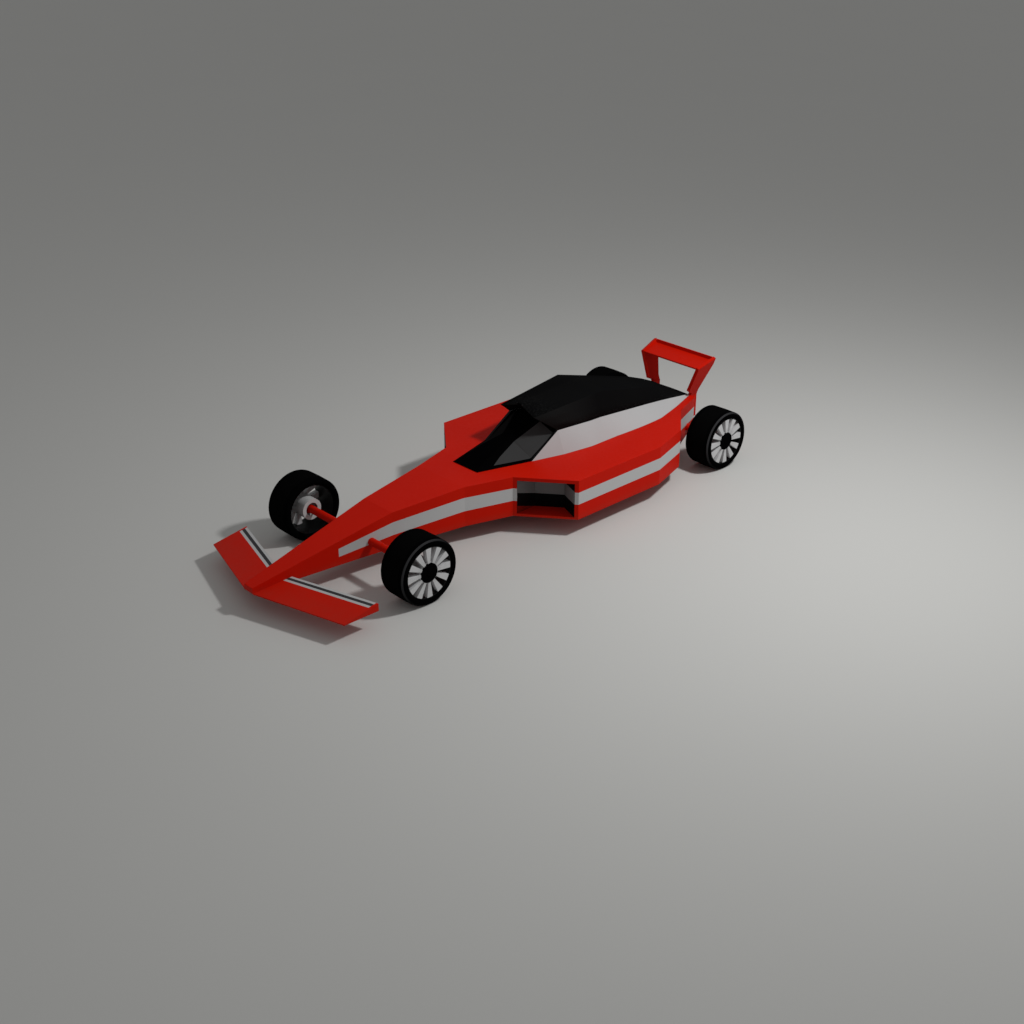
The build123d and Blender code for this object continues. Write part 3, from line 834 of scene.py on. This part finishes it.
def rounded_profile(corners: np.ndarray, steps: int) -> np.ndarray:
    """Round a closed outline: each corner row is x, y, radius.

    Each corner's arc runs from one tangent point to the other, at angles spread evenly about
    the corner's inner centre.

    Args:
        corners: Array of n by 3 rows.
        steps: Points on each arc.

    Returns:
        Array of points by 2.
    """
    at, radius = corners[:, :2], corners[:, 2]
    back, on = np.roll(at, 1, axis=0) - at, np.roll(at, -1, axis=0) - at
    back /= np.linalg.norm(back, axis=1, keepdims=True)
    on /= np.linalg.norm(on, axis=1, keepdims=True)
    half = np.arccos(np.clip((back * on).sum(axis=1), -1, 1)) / 2
    middle = (back + on) / np.linalg.norm(back + on, axis=1, keepdims=True)
    centre = at + middle * (radius / np.sin(half))[:, None]
    start = at + back * (radius / np.tan(half))[:, None] - centre
    side = np.sign(back[:, 0] * on[:, 1] - back[:, 1] * on[:, 0])
    turn = -side[:, None] * (math.pi - 2 * half)[:, None] * np.linspace(0, 1, steps)[None, :]
    cos, sin = np.cos(turn), np.sin(turn)
    x = centre[:, 0:1] + start[:, 0:1] * cos - start[:, 1:2] * sin
    y = centre[:, 1:2] + start[:, 0:1] * sin + start[:, 1:2] * cos
    return np.stack([x.ravel(), y.ravel()], axis=1)


def sleeve(ends: Pair, bore: float, radius: float, fillets: Pair) -> np.ndarray:
    """Return the profile of a tube along an axle.

    Args:
        ends: Its two ends along the axle.
        bore: Inner radius.
        radius: Outer radius.
        fillets: Rounding of the bore's edges and of the outer edges.

    Returns:
        Array of points by 2.
    """
    near, far = ends
    small, large = fillets
    return rounded_profile(np.array([(near, bore, small), (far, bore, small),
                                     (far, radius, large), (near, radius, large)]), 4)


def turned(name: str, profile: np.ndarray, centre: Point, count: int,
           flutes: np.ndarray | None = None) -> Piece:
    """Carry a closed profile round an axle along X.

    A point (a, r) of the profile at turn t goes to (cx + a, cy + r f sin t, cz + r f cos t),
    with f a row of factors over t, 1 unless the piece is fluted.

    Args:
        name: The piece's name.
        profile: Rows of distance along the axle and radius.
        centre: The axle's point in metres.
        count: Steps round the axle.
        flutes: Factor of the radius at each step.

    Returns:
        The new object.
    """
    turn = np.linspace(0, 2 * math.pi, count, endpoint=False)[:, None]
    factor = np.ones((count, 1)) if flutes is None else flutes[:, None]
    along = np.broadcast_to(profile[:, 0], (count, len(profile)))
    radius = profile[None, :, 1] * factor
    points = np.stack([centre[0] + along, centre[1] + radius * np.sin(turn),
                       centre[2] + radius * np.cos(turn)], axis=2).reshape(-1, 3)
    return surface(name, points, grid_faces(count, len(profile), True, True))


def swept(name: str, path: np.ndarray, ups: Point, width: float, height: float,
          sides: int) -> Piece:
    """Carry an oval along an open path, with its ends drawn shut.

    The oval at a path point p is p + w cos t (d x u) + h sin t u, with d the path's direction
    and u the up direction made square to it.

    Args:
        name: The piece's name.
        path: Array of n by 3 points.
        ups: Up direction.
        width: Half width.
        height: Half height.
        sides: Points round the oval.

    Returns:
        The new object.
    """
    step = np.gradient(path, axis=0)
    step /= np.linalg.norm(step, axis=1, keepdims=True)
    side = np.cross(step, np.broadcast_to(np.array(ups), path.shape))
    side /= np.linalg.norm(side, axis=1, keepdims=True)
    up = np.cross(side, step)
    wide, high = np.full((len(path), 1), width), np.full((len(path), 1), height)
    wide[[0, -1]], high[[0, -1]] = SHUT_SIZE, SHUT_SIZE
    turn = np.linspace(0, 2 * math.pi, sides, endpoint=False)
    points = (path[:, None, :] + (wide * np.cos(turn))[:, :, None] * side[:, None, :]
              + (high * np.sin(turn))[:, :, None] * up[:, None, :]).reshape(-1, 3)
    return surface(name, points, grid_faces(len(path), sides, False, True))


def dress(node: Piece, material: Material) -> None:
    """Give a CAD node one material in every slot."""
    for slot in node.material_slots:
        slot.material = material


def thicken(piece: Piece, wall: float, offset: float = -1.0) -> None:
    """Give an open surface a wall.

    Args:
        piece: The open surface.
        wall: Thickness.
        offset: Side of the wall, -1 for all of it inside and 0 for half on each side.
    """
    solid = piece.modifiers.new("wall", "SOLIDIFY")
    solid.thickness = wall
    solid.offset = offset
    solid.use_even_offset = True


def keep(piece: Piece, body: str, material: Material) -> None:
    """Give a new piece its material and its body.

    Args:
        piece: The new object.
        body: Body that it rides on.
        material: Its material.
    """
    piece.data.materials.append(material)
    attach(piece, body)
    LOG.info("%s rides on %s with %d faces", piece.name, body, len(piece.data.polygons))


@dataclass
class Bodywork:
    """Red shell, white flanks and black roof of the car."""

    nodes: dict[str, Piece]
    striped: tuple[str, ...] = ("nose_cone", "tub", "engine_bay", "tail_casing", "sidepod_l",
                                "sidepod_r")
    plain: tuple[str, ...] = ("rear_wing_plane", "rear_wing_strut_l", "rear_wing_strut_r",
                              "axle_tubes_front", "axle_tubes_rear")
    wings: tuple[str, ...] = ("front_wing_l", "front_wing_r")

    def paint(self) -> None:
        """Dress the body's CAD nodes."""
        # The striped lacquer carries painted shade inside the intakes, the tub and the engine bay.
        flank = RedLacquer(Stripe.FLANK).make("red lacquer with side stripe and painted shade")
        plain = RedLacquer().make("red lacquer")
        wing = RedLacquer(Stripe.WING).make("red lacquer with wing lines")
        for names, material in ((self.striped, flank), (self.plain, plain), (self.wings, wing)):
            for name in names:
                dress(self.nodes[name], material)
        # Painted shade: the white panels' inward and forward faces are near black.
        white = PanelPaint((0.50, 0.50, 0.50), (0.46, 0.46, 0.463), (0.30, 0.29, 0.28),
                           painted_shade_lining=(0.0015, 0.0015, 0.0018))
        # Painted highlight: the black roof's steep faces are lighter towards the front.
        black = PanelPaint((0.0062, 0.0062, 0.0064), (0.0044, 0.0044, 0.0046),
                           (0.015, 0.015, 0.015), (0.45, 0.60), 0.0,
                           flank=(0.0145, 0.0145, 0.0145))
        panel = white.make("white panel paint with painted shade lining")
        for name in ("cover_panel_l", "cover_panel_r"):
            dress(self.nodes[name], panel)
        dark = black.make("black panel paint with painted highlight")
        Roof().build(dark)
        dress(self.nodes["skid_plank"], PlankWood().make("laminated plank"))
        LOG.info("bodywork painted")


@dataclass
class Roof:
    """Black engine cover roof: a boxy skin with a raised crown over the front opening."""

    wall: float = 0.006
    lower: Rows = (
        (0.350, 0.573, 0.8175), (0.358, 0.914, 0.7999), (0.370, 1.150, 0.7974),
        (0.357, 1.292, 0.7798), (0.291, 1.968, 0.6935), (0.2754, 2.186, 0.6658),
        (0.262, 2.374, 0.6396), (0.254, 2.578, 0.6112), (0.251, 2.674, 0.5980))
    ridge: Rows = (
        (0.2410, 0.3510, 0.9810), (0.2770, 0.800, 1.0150), (0.3123, 1.2243, 1.0470),
        (0.2973, 1.350, 1.0160), (0.2234, 1.968, 0.8620), (0.1974, 2.1858, 0.8060),
        (0.165, 2.374, 0.7080), (0.135, 2.578, 0.6340), (0.124, 2.674, 0.6020))
    crown: Rows = (
        (0.0, 0.390, 1.0440), (0.0, 0.800, 1.0710), (0.0, 1.2243, 1.0980), (0.0, 1.350, 1.0660),
        (0.0, 1.968, 0.9000), (0.0, 2.186, 0.8380), (0.0, 2.374, 0.7570), (0.0, 2.578, 0.6480),
        (0.0, 2.674, 0.6040))
    sharp_from: float = 28.0
    lug_x: Pair = (0.0305, 0.0425)
    lug_radii: Pair = (0.0042, 0.010)
    pin_x: Pair = (-0.044, 0.044)
    pin_radii: Pair = (0.0005, 0.004)

    def skin(self) -> Piece:
        """Rule the skin between its lower edge, ridge and crown, mirrored in x.

        Between two of those lines a point is (1 - v) a + v b, v in steps of a third.

        Returns:
            The skin.
        """
        lower, ridge, crown = (np.array(line)[:, None, :] for line in
                               (self.lower, self.ridge, self.crown))
        v = np.linspace(0, 1, 4)[None, :, None]
        half = np.concatenate([lower + v * (ridge - lower),
                               (ridge + v * (crown - ridge))[:, 1:]], axis=1)
        points = np.concatenate([half, half[:, -2::-1] * (-1.0, 1.0, 1.0)], axis=1)
        rows, columns = points.shape[:2]
        piece = surface("roof_skin", points.reshape(-1, 3),
                        grid_faces(rows, columns, False, False))
        piece.data.set_sharp_from_angle(angle=math.radians(self.sharp_from))
        return piece

    def build(self, black: Material) -> None:
        """Make the skin, the two hinge lugs and the pin.

        Args:
            black: The roof's paint.
        """
        skin = self.skin()
        thicken(skin, self.wall)
        keep(skin, "chassis", black)
        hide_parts("engine_cover_roof")
        lug = sleeve(self.lug_x, *self.lug_radii, (0.0004, 0.0015))
        for tag, side in (("l", 1.0), ("r", -1.0)):
            keep(turned("hinge_lug_" + tag, lug * (side, 1.0), HINGE, 40), "chassis",
                 black)
        pin = sleeve(self.pin_x, *self.pin_radii, (0.0002, 0.0008))
        keep(turned("hinge_pin", pin, HINGE, 32), "chassis", black)


@dataclass
class Canopy:
    """Low faceted canopy under the roof's front: frame, black glass, grey panes, the far one
    darkened as painted shade, and hinge arm.
    """

    wall: float = 0.004
    pane_wall: float = 0.003
    let_in: float = 0.0008
    glass_share: float = 0.88
    barrel_x: Pair = (-0.0295, 0.0295)
    barrel_radii: Pair = (0.0046, 0.008)
    arm_back: float = 0.070
    arm_bow: float = 0.01
    arm_top: float = 1.036
    arm_fall: float = 0.143
    arm_up: Point = (0.0, 1.0, 0.2)
    arm_size: Pair = (0.014, 0.005)
    base: Rows = (
        (0.1758, -0.347, 0.5925), (0.1869, -0.310, 0.5925), (0.2355, -0.147, 0.5925),
        (0.2719, -0.025, 0.5925), (0.3444, 0.218, 0.5925), (0.322, 0.240, 0.605),
        (0.334, 0.560, 0.762), (0.336, 0.585, 0.772))
    ridge: Rows = (
        (0.174, -0.347, 0.5955), (0.1679, -0.310, 0.6039), (0.1408, -0.147, 0.6408),
        (0.1206, -0.025, 0.6685), (0.0803, 0.218, 0.7235), (0.0877, 0.240, 0.7368),
        (0.172, 0.489, 0.889), (0.176, 0.505, 0.897))
    crown: Rows = (
        (0.0, -0.347, 0.597), (0.0, -0.310, 0.611), (0.0, -0.147, 0.673), (0.0, -0.025, 0.719),
        (0.0, 0.218, 0.760), (0.0, 0.240, 0.770), (0.0, 0.470, 0.906), (0.0, 0.485, 0.912))
    bulge: tuple[float, ...] = (0.0, 0.006, 0.022, 0.032, 0.032, 0.030, 0.008, 0.0)
    pane_low: tuple[float, ...] = (0.30, 0.33, 0.385, 0.230, 0.1225, 0.043, 0.148, 0.15)
    pane_high: tuple[float, ...] = (0.60, 0.50, 0.412, 0.786, 0.965, 0.965, 0.965, 0.96)

    def grid(self) -> np.ndarray:
        """Work out the outer surface's points, rows along the car and columns across it.

        A half row runs base, pane's lower edge, pane's upper edge, ridge, glass edge, crown;
        the pane's edges lie at a share f of the way from base to ridge, b + f (r - b), and the
        glass edge at a share of the way from crown to ridge, raised by the bulge. The other
        half mirrors it.

        Returns:
            Array of rows by 11 by 3.
        """
        low, high, top = (np.array(line) for line in (self.base, self.ridge, self.crown))
        share = [np.array(part)[:, None] for part in (self.pane_low, self.pane_high)]
        edge = top + self.glass_share * (high - top)
        edge[:, 2] += np.array(self.bulge)
        half = [low, low + share[0] * (high - low), low + share[1] * (high - low), high,
                edge, top]
        mirror = [part * (-1.0, 1.0, 1.0) for part in half[:5]]
        return np.stack(mirror + half[::-1], axis=1)

    def part(self, name: str, grid: np.ndarray, chosen: np.ndarray, drop: float,
             wall: float) -> Piece:
        """Make a piece of the chosen quads, let in by a drop and given a wall.

        Args:
            name: The piece's name.
            grid: The surface's points.
            chosen: Truth for each quad, rows by columns.
            drop: Distance below the outer surface.
            wall: Thickness.

        Returns:
            The piece.
        """
        rows, columns = grid.shape[:2]
        quads = grid_faces(rows, columns, False, False)[chosen.ravel()]
        used, quads = np.unique(quads, return_inverse=True)
        points = grid.reshape(-1, 3)[used] - (0.0, 0.0, drop)
        piece = surface(name, points, quads.reshape(-1, 4), False)
        thicken(piece, wall)
        return piece

    def hinge(self, black: Material) -> None:
        """Make the barrel round the pin and the arm down to the canopy's crown.

        Along the arm y is the hinge's y + b t + w sin(pi t), with w the bow, and z falls evenly.

        Args:
            black: The frame's paint.
        """
        tube = sleeve(self.barrel_x, *self.barrel_radii, (0.0004, 0.001))
        keep(turned("canopy_barrel", tube, HINGE, 40), "canopy", black)
        t = np.linspace(0, 1, 16)
        back = HINGE[1] + self.arm_back * t + self.arm_bow * np.sin(math.pi * t)
        path = np.stack([0.0 * t, back, self.arm_top - self.arm_fall * t], axis=1)
        arm = swept("canopy_arm", path, self.arm_up, *self.arm_size, 20)
        keep(arm, "canopy", black)

    def build(self) -> None:
        """Make the frame, the glass, the panes and the hinge.

        Of the grid's quads, the two middle columns are the black glass in rows 1 to 5, and the
        second column from either side is a pane in rows 2 to 5. All others are the frame.
        """
        grid = self.grid()
        rows, columns = grid.shape[0] - 1, grid.shape[1] - 1
        row, column = np.indices((rows, columns))
        glass = (row >= 1) & (row <= 5) & ((column == 4) | (column == 5))
        beside = (row >= 2) & (row <= 5)
        right, left = beside & (column == 1), beside & (column == 8)
        paint = PanelPaint((0.0016, 0.0016, 0.0018), (0.0010, 0.0010, 0.0012),
                           (0.006, 0.006, 0.006), (0.5, 0.65), 0.0).make("canopy frame black")
        frame = self.part("canopy_tent", grid, ~(glass | right | left), 0.0, self.wall)
        keep(frame, "canopy", paint)
        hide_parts("canopy_frame")
        screen = self.part("black_glass", grid, glass, self.let_in, self.pane_wall)
        keep(screen, "canopy",
             SmokedGlass((0.0012, 0.0012, 0.0014), 0.35).make("black smoked glass"))
        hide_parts("windscreen")
        near = SmokedGlass((0.052, 0.052, 0.0525), 0.4).make("grey smoked glass")
        # Painted shade: the far pane is the near pane's grey glass made darker, as if in the roof's
        # shadow.
        far = SmokedGlass((0.012, 0.012, 0.0125), 0.4).make("grey smoked glass in painted shade")
        for side, chosen, pane in (("l", left, near), ("r", right, far)):
            piece = self.part("side_pane_" + side, grid, chosen, self.let_in, self.pane_wall)
            keep(piece, "canopy", pane)
            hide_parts("side_window_" + side)
        self.hinge(paint)


@dataclass
class Wheel:
    """One wheel: a turned slick tyre on the CAD rim, and a fluted nut on its cap."""

    nodes: dict[str, Piece]
    tag: str
    steps: int = 128
    bead_gap: float = 0.0005
    bead_in: float = 0.004
    swell_in: float = 0.018
    swell_out: float = 0.005
    shoulder: float = 0.045
    tread_fall: float = 0.003
    barrel_wall: float = 0.0065
    nut_x: Pair = (-0.002, 0.007)
    nut_radii: Pair = (0.004, 0.030)
    nut_steps: int = 96
    flute: float = 0.06
    centre: Point = field(init=False)
    half: float = field(init=False)
    radius: float = field(init=False)
    rim_radius: float = field(init=False)

    def __post_init__(self) -> None:
        """Take the wheel's place and sizes from the CAD tyre and rim."""
        low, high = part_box("tyre_" + self.tag)
        self.centre = tuple((low + high) / 2)
        self.half = (high.x - low.x) / 2
        self.radius = (high.z - low.z) / 2
        rim_low, rim_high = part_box("rim_" + self.tag)
        self.rim_radius = (rim_high.z - rim_low.z) / 2

    @property
    def body(self) -> str:
        """Name of the body that turns with this wheel."""
        return "wheel_" + self.tag

    @property
    def side(self) -> float:
        """Plus one on the car's left, minus one on its right."""
        return math.copysign(1.0, self.centre[0])

    def tyre(self) -> Piece:
        """Turn the tyre's profile: crowned tread, round shoulders, side walls that swell.

        Returns:
            The tyre.
        """
        bead, rim = self.rim_radius + self.bead_gap, self.half - self.bead_in
        inner, outer = self.half + self.swell_in, self.half + self.swell_out
        wall, tread = self.radius - self.shoulder, self.radius - self.tread_fall
        corners = np.array([
            (-rim, bead, 0.003), (-inner, wall, 0.030), (-inner + 0.001, tread, 0.020),
            (0.0, self.radius, 0.5), (outer - 0.001, tread, 0.020), (outer, wall, 0.030),
            (rim, bead, 0.003)])
        profile = rounded_profile(corners, 7) * (self.side, 1.0)
        return turned("slick_" + self.tag, profile, self.centre, self.steps)

    def nut(self) -> Piece:
        """Turn the centre nut, its radius factor 1 - f (1 + cos 6t) / 2 giving six lobes.

        Returns:
            The nut.
        """
        low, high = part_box("hub_cap_" + self.tag)
        face = high.x if self.side > 0 else low.x
        (root, tip), (bore, radius) = self.nut_x, self.nut_radii
        corners = np.array([(root, bore, 0.0005), (tip, bore, 0.0005), (tip, radius, 0.0025),
                            (root, radius, 0.0005)])
        profile = rounded_profile(corners, 4) * (self.side, 1.0)
        turn = np.linspace(0, 2 * math.pi, self.nut_steps, endpoint=False)
        flutes = 1 - self.flute * (1 + np.cos(6 * turn)) / 2
        return turned("centre_nut_" + self.tag, profile, (face, *self.centre[1:]),
                      self.nut_steps, flutes)

    def build(self) -> None:
        """Make and dress this wheel's pieces."""
        outer = self.centre[0] + self.side * (self.half + self.swell_out)
        rubber = Rubber(self.centre[1:], outer, self.radius)
        tyre = self.tyre()
        keep(tyre, self.body, rubber.make("slick rubber with painted highlight " + self.tag))
        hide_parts("tyre_" + self.tag)
        paint = WheelPaint(self.centre[1:], self.rim_radius - self.barrel_wall)
        dress(self.nodes["rim_" + self.tag], paint.make("wheel paint " + self.tag))
        cap = Moulded((0.0010, 0.0010, 0.0012), (0.002, 0.002, 0.0022), rough=(0.4, 0.55),
                      specular=0.0)
        cap_finish = cap.make("hub cap black " + self.tag)
        dress(self.nodes["hub_cap_" + self.tag], cap_finish)
        keep(self.nut(), self.body, cap_finish)


@dataclass
class Hubs:
    """White drums of the knuckles and hub carriers."""

    nodes: dict[str, Piece]

    def paint(self) -> None:
        """Dress the four drums."""
        drum = PanelPaint((0.62, 0.62, 0.62), (0.54, 0.54, 0.54), (0.25, 0.24, 0.23))
        material = drum.make("drum white")
        for name in ("knuckle_fl", "knuckle_fr", "hub_carrier_rl", "hub_carrier_rr"):
            dress(self.nodes[name], material)
        LOG.info("hubs painted")


@dataclass
class Cooling:
    """Radiators at the back of the intakes, slanted intake liners, and the engine block; radiators
    and liners carry the stripe in painted shade, and the liners' near black is painted shade too.
    """

    nodes: dict[str, Piece]
    mouth: float = 0.5910
    depth: float = 0.199
    lean: float = 0.112
    liner_z: Pair = (0.2012, 0.5538)
    liner_start: float = 0.008
    liner_wall: float = 0.002
    liner_grid: tuple[int, int] = (12, 9)

    def liner(self, side: float) -> Piece:
        """Rule one intake's outer wall, which leans towards the car as it runs back.

        A point at share u of the depth and height z lies at corner + (m - l u) a + d u n, with
        a along the mouth, n inward, m the mouth's end and l the lean, and then mirrored.

        Args:
            side: Plus one for the left intake, minus one for the right one.

        Returns:
            The liner.
        """
        rows, columns = self.liner_grid
        u, z = np.meshgrid(np.linspace(self.liner_start, 1, rows),
                           np.linspace(*self.liner_z, columns), indexing="ij")
        corner, along, inward = (np.array(part) for part in
                                 (INTAKE_CORNER, INTAKE_ALONG, INTAKE_INWARD))
        plan = (corner + (self.mouth - self.lean * u)[..., None] * along
                + (self.depth * u)[..., None] * inward)
        points = np.concatenate([plan * (side, 1.0), z[..., None]], axis=2)
        piece = surface("intake_liner_" + ("l" if side > 0 else "r"), points.reshape(-1, 3),
                        grid_faces(rows, columns, False, False))
        thicken(piece, self.liner_wall, 0.0)
        return piece

    def build(self) -> None:
        """Dress the radiators and the engine block, and line the intakes."""
        # Painted shade: the stripe band is grey as if in shade; on the intake liners the near black
        # also stands for shade.
        core = Moulded((0.0012, 0.0012, 0.0014), (0.003, 0.003, 0.0032), Grain.CAST, (0.6, 0.8),
                       band=INTAKE_BAND, band_colour=(0.16, 0.16, 0.16), specular=0.05)
        material = core.make("radiator core with painted shade stripe")
        for name in ("radiator_l", "radiator_r"):
            dress(self.nodes[name], material)
        for side in (1.0, -1.0):
            keep(self.liner(side), "chassis", material)
        block = Moulded((0.16, 0.16, 0.165), (0.30, 0.30, 0.31), Grain.CAST, (0.45, 0.65), 0.9)
        dress(self.nodes["engine_block"], block.make("cast alloy"))
        LOG.info("cooling and engine dressed")


@dataclass
class Cockpit:
    """Seat shell, dashboard, column and steering wheel."""

    nodes: dict[str, Piece]

    def build(self) -> None:
        """Dress the cockpit's CAD nodes."""
        shell = Moulded((0.008, 0.008, 0.009), (0.030, 0.030, 0.032), Grain.WEAVE, (0.25, 0.4))
        dress(self.nodes["seat"], shell.make("woven seat shell"))
        plastic = Moulded((0.010, 0.010, 0.011), (0.022, 0.022, 0.023))
        for name in ("dashboard", "steering_column", "steering_wheel"):
            dress(self.nodes[name], plastic.make("cockpit plastic " + name))
        LOG.info("cockpit dressed")


@dataclass
class Studio:
    """Floor, lamps and the photograph's camera."""

    eye: Point = (9.4288, -8.6080, 6.3354)
    turn: Point = (63.5593, 0.0, 46.6919)
    lamp_at: Point = (4.21, 2.85, 6.93)
    lamp_aim: Point = (0.0, 0.0, 0.4)
    lamp_power: float = 340.0
    lamp_size: float = 0.8
    fill_strength: float = 0.26
    floor_reach: float = 110.0
    floor_steps: int = 12
    lens_mm: float = 50.0
    sensor_mm: float = 36.0
    far_clip: float = 500.0

    def floor(self) -> None:
        """Lay the floor, a flat grid of points at z = 0."""
        reach = np.linspace(-self.floor_reach, self.floor_reach, self.floor_steps)
        x, y = np.meshgrid(reach, reach, indexing="xy")
        points = np.stack([x.ravel(), y.ravel(), np.zeros(x.size)], axis=1)
        piece = surface("floor", points, grid_faces(len(reach), len(reach), False, False))
        piece.data.materials.append(PaleFloor().make("pale floor"))

    def lamps(self) -> None:
        """Set one soft lamp from the left rear and an even fill from the world."""
        lamp = bpy.data.lights.new("key", "AREA")
        lamp.shape = "DISK"
        lamp.size = self.lamp_size
        lamp.energy = self.lamp_power
        key = bpy.data.objects.new("key", lamp)
        key.location = self.lamp_at
        away = Vector(self.lamp_at) - Vector(self.lamp_aim)
        key.rotation_euler = away.to_track_quat("Z", "Y").to_euler()
        bpy.context.scene.collection.objects.link(key)
        world = bpy.data.worlds.new("studio")
        world.use_nodes = True
        back = world.node_tree.nodes["Background"]
        back.inputs["Color"].default_value = (1.0, 1.0, 1.0, 1.0)
        back.inputs["Strength"].default_value = self.fill_strength
        bpy.context.scene.world = world

    def camera(self) -> None:
        """Place the camera as the photograph's was."""
        lens = bpy.data.cameras.new("photograph")
        lens.lens, lens.sensor_width = self.lens_mm, self.sensor_mm
        lens.clip_end = self.far_clip
        camera = bpy.data.objects.new("photograph", lens)
        camera.location = self.eye
        camera.rotation_euler = [math.radians(value) for value in self.turn]
        bpy.context.scene.collection.objects.link(camera)
        bpy.context.scene.camera = camera

    def build(self) -> None:
        """Set up the whole studio."""
        self.floor()
        self.lamps()
        self.camera()
        bpy.context.scene.view_settings.view_transform = "Standard"
        LOG.info("studio ready")


def main() -> None:
    """Build the car's looks in order."""
    logging.basicConfig(level=logging.INFO, format="%(name)s: %(message)s")
    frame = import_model()
    nodes = frame["nodes"]
    Studio().build()
    Bodywork(nodes).paint()
    Canopy().build()
    for tag in ("fl", "fr", "rl", "rr"):
        Wheel(nodes, tag).build()
    Hubs(nodes).paint()
    Cooling(nodes).build()
    Cockpit(nodes).build()


if __name__ == "__main__":
    main()
